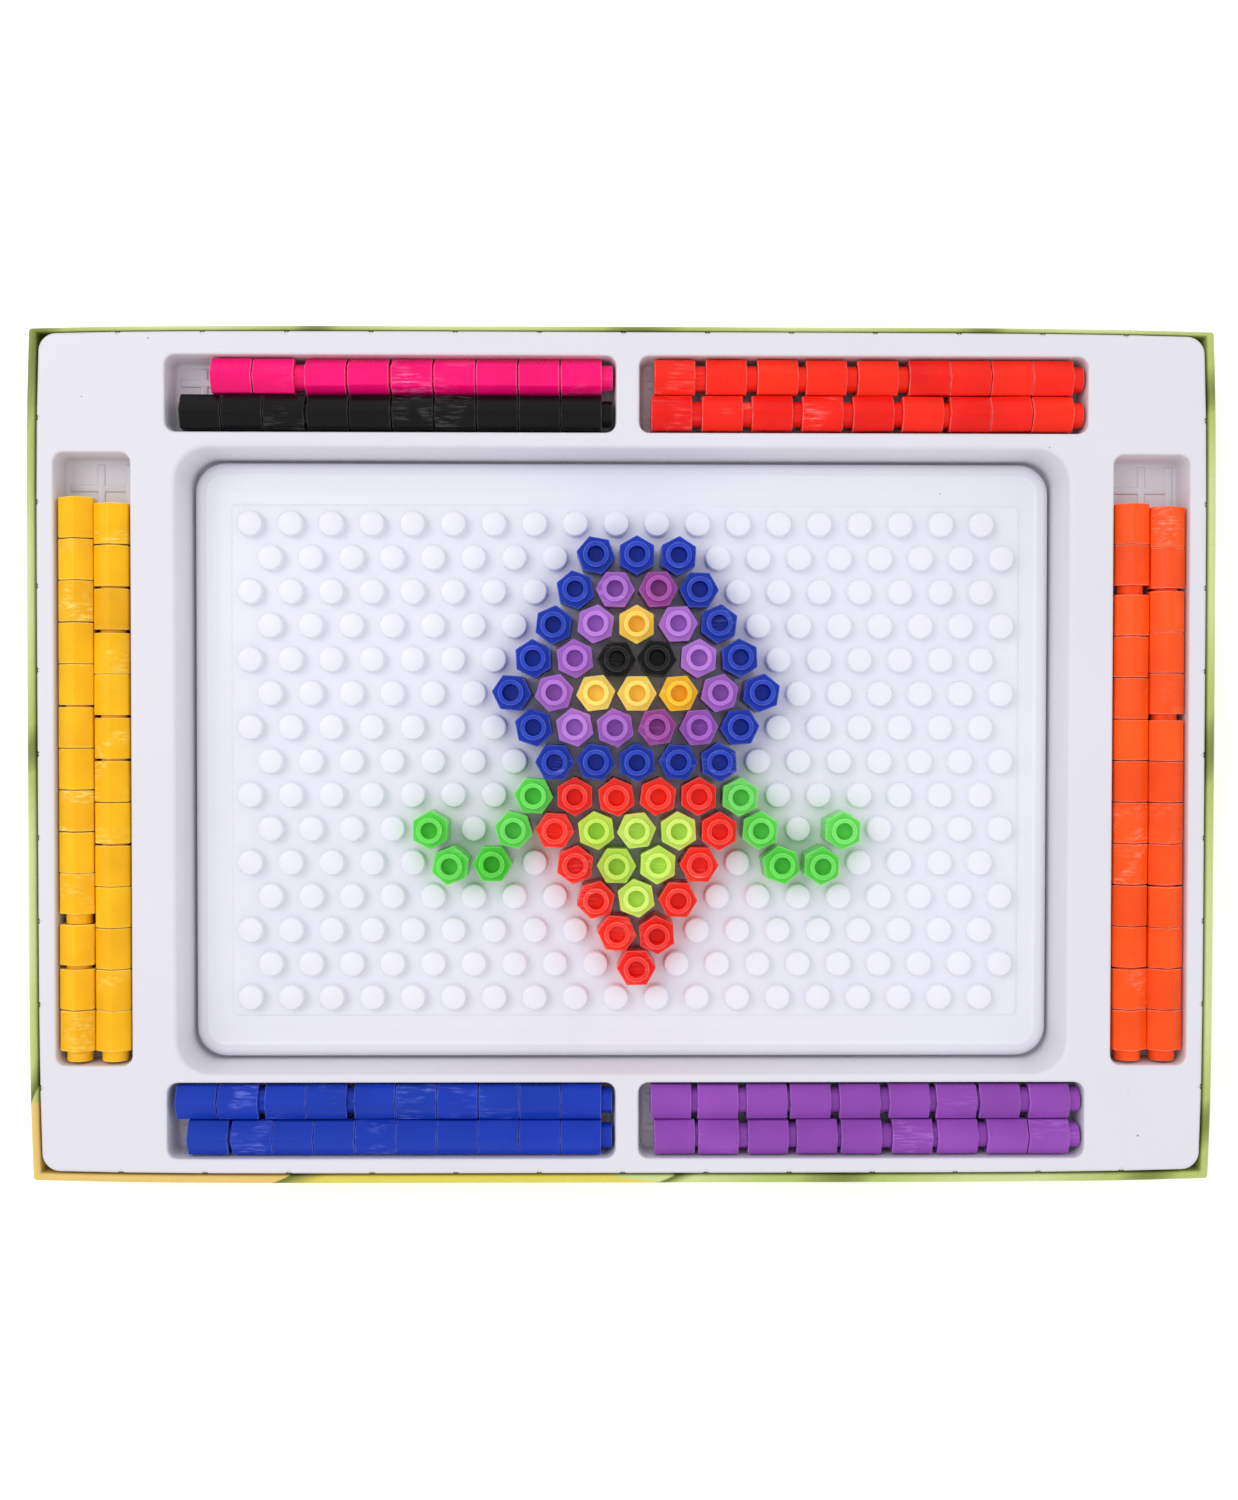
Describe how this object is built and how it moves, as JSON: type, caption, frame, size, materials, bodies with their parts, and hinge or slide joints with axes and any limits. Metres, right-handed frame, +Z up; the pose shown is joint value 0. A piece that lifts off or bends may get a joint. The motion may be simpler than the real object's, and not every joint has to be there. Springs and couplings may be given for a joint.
{
  "type": "hexagonal bead mosaic kit",
  "caption": "Open card box with a white formed tray, a staggered pegboard and hexagonal plug-together beads, some set as a figure, some stored as sticks.",
  "frame": {"origin": "centre of the card box's underside", "axes": "+X along the box's long side, +Y towards the far long side, +Z up out of the open box"},
  "size_m": [0.344, 0.2482, 0.0313],
  "materials": {
    "printed_card": "thin card box wrapped in satin printed paper, green and yellow leaf shapes",
    "tray_plastic": "white vacuum-formed sheet, satin, rounded edges",
    "board_plastic": "white moulded plastic, semi-gloss",
    "pink_bead_plastic": "pink moulded plastic, semi-gloss, slightly waxy",
    "black_bead_plastic": "black moulded plastic, semi-gloss, slightly waxy",
    "red_bead_plastic": "red moulded plastic, semi-gloss, slightly waxy",
    "yellow_bead_plastic": "yellow moulded plastic, semi-gloss, slightly waxy",
    "orange_bead_plastic": "orange moulded plastic, semi-gloss, slightly waxy",
    "blue_bead_plastic": "blue moulded plastic, semi-gloss, slightly waxy",
    "purple_bead_plastic": "purple moulded plastic, semi-gloss, slightly waxy",
    "magenta_bead_plastic": "magenta moulded plastic, semi-gloss, slightly waxy",
    "green_bead_plastic": "green moulded plastic, semi-gloss, slightly waxy",
    "lime_bead_plastic": "lime moulded plastic, semi-gloss, slightly waxy"
  },
  "bodies": {
    "box": {"box_base": "printed_card"},
    "tray": {"tray_insert": "tray_plastic"},
    "board": {"pegboard": "board_plastic"},
    "black_stick": {"black_stick": "black_bead_plastic"},
    "blue_stick_far": {"blue_stick_far": "blue_bead_plastic"},
    "blue_stick_near": {"blue_stick_near": "blue_bead_plastic"},
    "orange_stick_inner": {"orange_stick_inner": "orange_bead_plastic"},
    "orange_stick_outer": {"orange_stick_outer": "orange_bead_plastic"},
    "pink_stick": {"pink_stick": "pink_bead_plastic"},
    "purple_stick_far": {"purple_stick_far": "purple_bead_plastic"},
    "purple_stick_near": {"purple_stick_near": "purple_bead_plastic"},
    "red_stick_far": {"red_stick_far": "red_bead_plastic"},
    "red_stick_near": {"red_stick_near": "red_bead_plastic"},
    "yellow_stick_inner": {"yellow_stick_inner": "yellow_bead_plastic"},
    "yellow_stick_outer": {"yellow_stick_outer": "yellow_bead_plastic"},
    "black_bead_01": {"black_bead_01": "black_bead_plastic"},
    "black_bead_02": {"black_bead_02": "black_bead_plastic"},
    "blue_bead_01": {"blue_bead_01": "blue_bead_plastic"},
    "blue_bead_02": {"blue_bead_02": "blue_bead_plastic"},
    "blue_bead_03": {"blue_bead_03": "blue_bead_plastic"},
    "blue_bead_04": {"blue_bead_04": "blue_bead_plastic"},
    "blue_bead_05": {"blue_bead_05": "blue_bead_plastic"},
    "blue_bead_06": {"blue_bead_06": "blue_bead_plastic"},
    "blue_bead_07": {"blue_bead_07": "blue_bead_plastic"},
    "blue_bead_08": {"blue_bead_08": "blue_bead_plastic"},
    "blue_bead_09": {"blue_bead_09": "blue_bead_plastic"},
    "blue_bead_10": {"blue_bead_10": "blue_bead_plastic"},
    "blue_bead_11": {"blue_bead_11": "blue_bead_plastic"},
    "blue_bead_12": {"blue_bead_12": "blue_bead_plastic"},
    "blue_bead_13": {"blue_bead_13": "blue_bead_plastic"},
    "blue_bead_row": {"blue_bead_row": "blue_bead_plastic"},
    "green_bead_01": {"green_bead_01": "green_bead_plastic"},
    "green_bead_02": {"green_bead_02": "green_bead_plastic"},
    "green_bead_03": {"green_bead_03": "green_bead_plastic"},
    "green_bead_04": {"green_bead_04": "green_bead_plastic"},
    "green_bead_05": {"green_bead_05": "green_bead_plastic"},
    "green_bead_06": {"green_bead_06": "green_bead_plastic"},
    "green_bead_07": {"green_bead_07": "green_bead_plastic"},
    "green_bead_08": {"green_bead_08": "green_bead_plastic"},
    "green_bead_09": {"green_bead_09": "green_bead_plastic"},
    "green_bead_10": {"green_bead_10": "green_bead_plastic"},
    "lime_bead_patch": {"lime_bead_patch": "lime_bead_plastic"},
    "magenta_bead_01": {"magenta_bead_01": "magenta_bead_plastic"},
    "magenta_bead_02": {"magenta_bead_02": "magenta_bead_plastic"},
    "purple_bead_01": {"purple_bead_01": "purple_bead_plastic"},
    "purple_bead_02": {"purple_bead_02": "purple_bead_plastic"},
    "purple_bead_03": {"purple_bead_03": "purple_bead_plastic"},
    "purple_bead_04": {"purple_bead_04": "purple_bead_plastic"},
    "purple_bead_05": {"purple_bead_05": "purple_bead_plastic"},
    "purple_bead_06": {"purple_bead_06": "purple_bead_plastic"},
    "purple_bead_07": {"purple_bead_07": "purple_bead_plastic"},
    "purple_bead_08": {"purple_bead_08": "purple_bead_plastic"},
    "purple_bead_09": {"purple_bead_09": "purple_bead_plastic"},
    "purple_bead_10": {"purple_bead_10": "purple_bead_plastic"},
    "red_bead_patch_left": {"red_bead_patch_left": "red_bead_plastic"},
    "red_bead_patch_right": {"red_bead_patch_right": "red_bead_plastic"},
    "yellow_bead_01": {"yellow_bead_01": "yellow_bead_plastic"},
    "yellow_bead_02": {"yellow_bead_02": "yellow_bead_plastic"},
    "yellow_bead_03": {"yellow_bead_03": "yellow_bead_plastic"},
    "yellow_bead_04": {"yellow_bead_04": "yellow_bead_plastic"}
  },
  "joints": [
    {"name": "tray_lift", "type": "slide", "parent": "box", "child": "tray", "axis": [0, 0, 1], "range_m": [0, 0.035]},
    {"name": "board_lift", "type": "slide", "parent": "tray", "child": "board", "axis": [0, 0, 1], "range_m": [0, 0.03]},
    {"name": "black_stick_lift", "type": "slide", "parent": "tray", "child": "black_stick", "axis": [0, 0, 1], "range_m": [0, 0.02]},
    {"name": "blue_stick_far_lift", "type": "slide", "parent": "tray", "child": "blue_stick_far", "axis": [0, 0, 1], "range_m": [0, 0.02]},
    {"name": "blue_stick_near_lift", "type": "slide", "parent": "tray", "child": "blue_stick_near", "axis": [0, 0, 1], "range_m": [0, 0.02]},
    {"name": "orange_stick_inner_lift", "type": "slide", "parent": "tray", "child": "orange_stick_inner", "axis": [0, 0, 1], "range_m": [0, 0.02]},
    {"name": "orange_stick_outer_lift", "type": "slide", "parent": "tray", "child": "orange_stick_outer", "axis": [0, 0, 1], "range_m": [0, 0.02]},
    {"name": "pink_stick_lift", "type": "slide", "parent": "tray", "child": "pink_stick", "axis": [0, 0, 1], "range_m": [0, 0.02]},
    {"name": "purple_stick_far_lift", "type": "slide", "parent": "tray", "child": "purple_stick_far", "axis": [0, 0, 1], "range_m": [0, 0.02]},
    {"name": "purple_stick_near_lift", "type": "slide", "parent": "tray", "child": "purple_stick_near", "axis": [0, 0, 1], "range_m": [0, 0.02]},
    {"name": "red_stick_far_lift", "type": "slide", "parent": "tray", "child": "red_stick_far", "axis": [0, 0, 1], "range_m": [0, 0.02]},
    {"name": "red_stick_near_lift", "type": "slide", "parent": "tray", "child": "red_stick_near", "axis": [0, 0, 1], "range_m": [0, 0.02]},
    {"name": "yellow_stick_inner_lift", "type": "slide", "parent": "tray", "child": "yellow_stick_inner", "axis": [0, 0, 1], "range_m": [0, 0.02]},
    {"name": "yellow_stick_outer_lift", "type": "slide", "parent": "tray", "child": "yellow_stick_outer", "axis": [0, 0, 1], "range_m": [0, 0.02]},
    {"name": "black_bead_01_lift", "type": "slide", "parent": "board", "child": "black_bead_01", "axis": [0, 0, 1], "range_m": [0, 0.02]},
    {"name": "black_bead_02_lift", "type": "slide", "parent": "board", "child": "black_bead_02", "axis": [0, 0, 1], "range_m": [0, 0.02]},
    {"name": "blue_bead_01_lift", "type": "slide", "parent": "board", "child": "blue_bead_01", "axis": [0, 0, 1], "range_m": [0, 0.02]},
    {"name": "blue_bead_02_lift", "type": "slide", "parent": "board", "child": "blue_bead_02", "axis": [0, 0, 1], "range_m": [0, 0.02]},
    {"name": "blue_bead_03_lift", "type": "slide", "parent": "board", "child": "blue_bead_03", "axis": [0, 0, 1], "range_m": [0, 0.02]},
    {"name": "blue_bead_04_lift", "type": "slide", "parent": "board", "child": "blue_bead_04", "axis": [0, 0, 1], "range_m": [0, 0.02]},
    {"name": "blue_bead_05_lift", "type": "slide", "parent": "board", "child": "blue_bead_05", "axis": [0, 0, 1], "range_m": [0, 0.02]},
    {"name": "blue_bead_06_lift", "type": "slide", "parent": "board", "child": "blue_bead_06", "axis": [0, 0, 1], "range_m": [0, 0.02]},
    {"name": "blue_bead_07_lift", "type": "slide", "parent": "board", "child": "blue_bead_07", "axis": [0, 0, 1], "range_m": [0, 0.02]},
    {"name": "blue_bead_08_lift", "type": "slide", "parent": "board", "child": "blue_bead_08", "axis": [0, 0, 1], "range_m": [0, 0.02]},
    {"name": "blue_bead_09_lift", "type": "slide", "parent": "board", "child": "blue_bead_09", "axis": [0, 0, 1], "range_m": [0, 0.02]},
    {"name": "blue_bead_10_lift", "type": "slide", "parent": "board", "child": "blue_bead_10", "axis": [0, 0, 1], "range_m": [0, 0.02]},
    {"name": "blue_bead_11_lift", "type": "slide", "parent": "board", "child": "blue_bead_11", "axis": [0, 0, 1], "range_m": [0, 0.02]},
    {"name": "blue_bead_12_lift", "type": "slide", "parent": "board", "child": "blue_bead_12", "axis": [0, 0, 1], "range_m": [0, 0.02]},
    {"name": "blue_bead_13_lift", "type": "slide", "parent": "board", "child": "blue_bead_13", "axis": [0, 0, 1], "range_m": [0, 0.02]},
    {"name": "blue_bead_row_lift", "type": "slide", "parent": "board", "child": "blue_bead_row", "axis": [0, 0, 1], "range_m": [0, 0.02]},
    {"name": "green_bead_01_lift", "type": "slide", "parent": "board", "child": "green_bead_01", "axis": [0, 0, 1], "range_m": [0, 0.02]},
    {"name": "green_bead_02_lift", "type": "slide", "parent": "board", "child": "green_bead_02", "axis": [0, 0, 1], "range_m": [0, 0.02]},
    {"name": "green_bead_03_lift", "type": "slide", "parent": "board", "child": "green_bead_03", "axis": [0, 0, 1], "range_m": [0, 0.02]},
    {"name": "green_bead_04_lift", "type": "slide", "parent": "board", "child": "green_bead_04", "axis": [0, 0, 1], "range_m": [0, 0.02]},
    {"name": "green_bead_05_lift", "type": "slide", "parent": "board", "child": "green_bead_05", "axis": [0, 0, 1], "range_m": [0, 0.02]},
    {"name": "green_bead_06_lift", "type": "slide", "parent": "board", "child": "green_bead_06", "axis": [0, 0, 1], "range_m": [0, 0.02]},
    {"name": "green_bead_07_lift", "type": "slide", "parent": "board", "child": "green_bead_07", "axis": [0, 0, 1], "range_m": [0, 0.02]},
    {"name": "green_bead_08_lift", "type": "slide", "parent": "board", "child": "green_bead_08", "axis": [0, 0, 1], "range_m": [0, 0.02]},
    {"name": "green_bead_09_lift", "type": "slide", "parent": "board", "child": "green_bead_09", "axis": [0, 0, 1], "range_m": [0, 0.02]},
    {"name": "green_bead_10_lift", "type": "slide", "parent": "board", "child": "green_bead_10", "axis": [0, 0, 1], "range_m": [0, 0.02]},
    {"name": "lime_bead_patch_lift", "type": "slide", "parent": "board", "child": "lime_bead_patch", "axis": [0, 0, 1], "range_m": [0, 0.02]},
    {"name": "magenta_bead_01_lift", "type": "slide", "parent": "board", "child": "magenta_bead_01", "axis": [0, 0, 1], "range_m": [0, 0.02]},
    {"name": "magenta_bead_02_lift", "type": "slide", "parent": "board", "child": "magenta_bead_02", "axis": [0, 0, 1], "range_m": [0, 0.02]},
    {"name": "purple_bead_01_lift", "type": "slide", "parent": "board", "child": "purple_bead_01", "axis": [0, 0, 1], "range_m": [0, 0.02]},
    {"name": "purple_bead_02_lift", "type": "slide", "parent": "board", "child": "purple_bead_02", "axis": [0, 0, 1], "range_m": [0, 0.02]},
    {"name": "purple_bead_03_lift", "type": "slide", "parent": "board", "child": "purple_bead_03", "axis": [0, 0, 1], "range_m": [0, 0.02]},
    {"name": "purple_bead_04_lift", "type": "slide", "parent": "board", "child": "purple_bead_04", "axis": [0, 0, 1], "range_m": [0, 0.02]},
    {"name": "purple_bead_05_lift", "type": "slide", "parent": "board", "child": "purple_bead_05", "axis": [0, 0, 1], "range_m": [0, 0.02]},
    {"name": "purple_bead_06_lift", "type": "slide", "parent": "board", "child": "purple_bead_06", "axis": [0, 0, 1], "range_m": [0, 0.02]},
    {"name": "purple_bead_07_lift", "type": "slide", "parent": "board", "child": "purple_bead_07", "axis": [0, 0, 1], "range_m": [0, 0.02]},
    {"name": "purple_bead_08_lift", "type": "slide", "parent": "board", "child": "purple_bead_08", "axis": [0, 0, 1], "range_m": [0, 0.02]},
    {"name": "purple_bead_09_lift", "type": "slide", "parent": "board", "child": "purple_bead_09", "axis": [0, 0, 1], "range_m": [0, 0.02]},
    {"name": "purple_bead_10_lift", "type": "slide", "parent": "board", "child": "purple_bead_10", "axis": [0, 0, 1], "range_m": [0, 0.02]},
    {"name": "red_bead_patch_left_lift", "type": "slide", "parent": "board", "child": "red_bead_patch_left", "axis": [0, 0, 1], "range_m": [0, 0.02]},
    {"name": "red_bead_patch_right_lift", "type": "slide", "parent": "board", "child": "red_bead_patch_right", "axis": [0, 0, 1], "range_m": [0, 0.02]},
    {"name": "yellow_bead_01_lift", "type": "slide", "parent": "board", "child": "yellow_bead_01", "axis": [0, 0, 1], "range_m": [0, 0.02]},
    {"name": "yellow_bead_02_lift", "type": "slide", "parent": "board", "child": "yellow_bead_02", "axis": [0, 0, 1], "range_m": [0, 0.02]},
    {"name": "yellow_bead_03_lift", "type": "slide", "parent": "board", "child": "yellow_bead_03", "axis": [0, 0, 1], "range_m": [0, 0.02]},
    {"name": "yellow_bead_04_lift", "type": "slide", "parent": "board", "child": "yellow_bead_04", "axis": [0, 0, 1], "range_m": [0, 0.02]}
  ]
}
